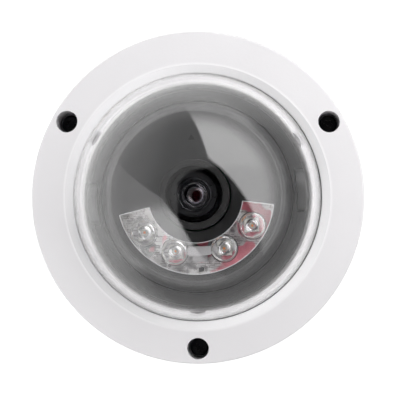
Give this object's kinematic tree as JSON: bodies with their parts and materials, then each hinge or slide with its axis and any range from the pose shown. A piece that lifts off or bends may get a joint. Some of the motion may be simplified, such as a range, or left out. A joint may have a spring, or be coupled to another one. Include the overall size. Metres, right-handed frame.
{
  "type": "dome cctv camera",
  "caption": "Dome security camera with screw-down cover ring, clear bubble, and a pan, tilt and rotate camera head with infrared lamps over a flat back box.",
  "frame": {"origin": "centre of the flat mounting face of the back box", "axes": "+Z out of the mounting face towards the top of the dome; infrared window on the -Y side"},
  "size_m": [0.13, 0.13, 0.0999],
  "materials": {
    "white_coat": "fine-textured satin powder coat",
    "cast_metal": "powder-coated die casting",
    "clear_dome": "clear polished polycarbonate",
    "lens_glass": "coated optical glass",
    "lamp_window": "clear polished polycarbonate",
    "seal_rubber": "matte silicone",
    "hood_rubber": "matte",
    "dark_plastic": "fine-spark moulded",
    "grey_plastic": "moulded",
    "black_plastic": "moulded",
    "white_plastic": "moulded",
    "lamp_board": "red solder mask",
    "green_board": "green solder mask",
    "cup_silver": "vapour-metallised reflector",
    "lamp": "encapsulated lamp",
    "dark_screw": "black oxide",
    "steel_screw": "zinc plated",
    "anodised": "black anodised",
    "bare_aluminium": "satin",
    "steel_sheet": "pressed sheet",
    "shield_steel": "tinned",
    "chip": "moulded epoxy"
  },
  "bodies": {
    "back_box": {"base": "cast_metal", "cover_seal": "seal_rubber", "conduit_plug": "cast_metal", "cable_grommet": "seal_rubber", "main_board": "green_board", "board_screws": "steel_screw", "processor": "chip", "heat_sink": "anodised", "network_jack": "shield_steel", "network_transformer": "chip", "power_terminal": "black_plastic", "card_socket": "shield_steel", "reset_switch": "black_plastic", "capacitors": "bare_aluminium", "harness_connector": "white_plastic", "gimbal_plate": "steel_sheet", "gimbal_plate_screws": "steel_screw", "pan_keeper": "steel_sheet", "pan_keeper_screws": "steel_screw"},
    "cover_group": {"cover": "white_coat", "bubble": "clear_dome", "bubble_gasket": "seal_rubber", "bubble_retainer": "steel_sheet", "bubble_screws": "steel_screw", "cover_screws": "dark_screw", "screw_clips": "steel_screw"},
    "pan_group": {"pan_ring": "dark_plastic", "yoke_right": "dark_plastic", "yoke_left": "dark_plastic", "yoke_screws": "dark_screw", "inner_liner": "dark_plastic"},
    "tilt_group": {"tilt_ring": "dark_plastic", "rear_shell": "dark_plastic", "pivot_screws": "dark_screw", "rear_shell_screws": "dark_screw"},
    "head_group": {"front_shell": "dark_plastic", "lamp_window": "lamp_window", "lamp_board": "lamp_board", "lamp_bridge": "grey_plastic", "light_sensor": "chip", "lens_hood": "hood_rubber", "lens_barrel": "anodised", "front_lens": "lens_glass", "rear_lens": "lens_glass", "lens_holder": "black_plastic", "cut_filter": "lens_glass", "sensor_board": "green_board", "sensor_board_screws": "steel_screw", "image_sensor": "chip", "head_clip": "dark_plastic", "head_clip_screws": "dark_screw", "lamp_cup_1": "cup_silver", "lamp_cup_2": "cup_silver", "lamp_cup_3": "cup_silver", "lamp_cup_4": "cup_silver", "lamps": "lamp"},
    "focus_group": {"focus_ring": "anodised"},
    "reset_group": {"reset_button": "black_plastic"},
    "card_group": {"memory_card": "chip"}
  },
  "joints": [
    {"name": "cover_lift", "type": "slide", "parent": "back_box", "child": "cover_group", "axis": [0, 0, 1], "range_m": [0, 0.08]},
    {"name": "pan", "type": "hinge", "parent": "back_box", "child": "pan_group", "pos_m": [0, 0, 0.026], "axis": [0, 0, 1], "range_deg": [-175, 175]},
    {"name": "tilt", "type": "hinge", "parent": "pan_group", "child": "tilt_group", "pos_m": [0, 0, 0.052], "axis": [0.9976, 0.0698, 0], "range_deg": [-15, 75]},
    {"name": "rotate", "type": "hinge", "parent": "tilt_group", "child": "head_group", "pos_m": [0, 0, 0.052], "axis": [0, 0, 1], "range_deg": [-175, 175]},
    {"name": "focus", "type": "hinge", "parent": "head_group", "child": "focus_group", "pos_m": [0, 0, 0.073], "axis": [0, 0, 1], "range_deg": [-60, 60]},
    {"name": "reset", "type": "slide", "parent": "back_box", "child": "reset_group", "axis": [0, 0, -1], "range_m": [0, 0.0003], "stiffness_N_per_m": 3000},
    {"name": "card_eject", "type": "slide", "parent": "back_box", "child": "card_group", "axis": [1, 0, 0], "range_m": [0, 0.009]}
  ]
}
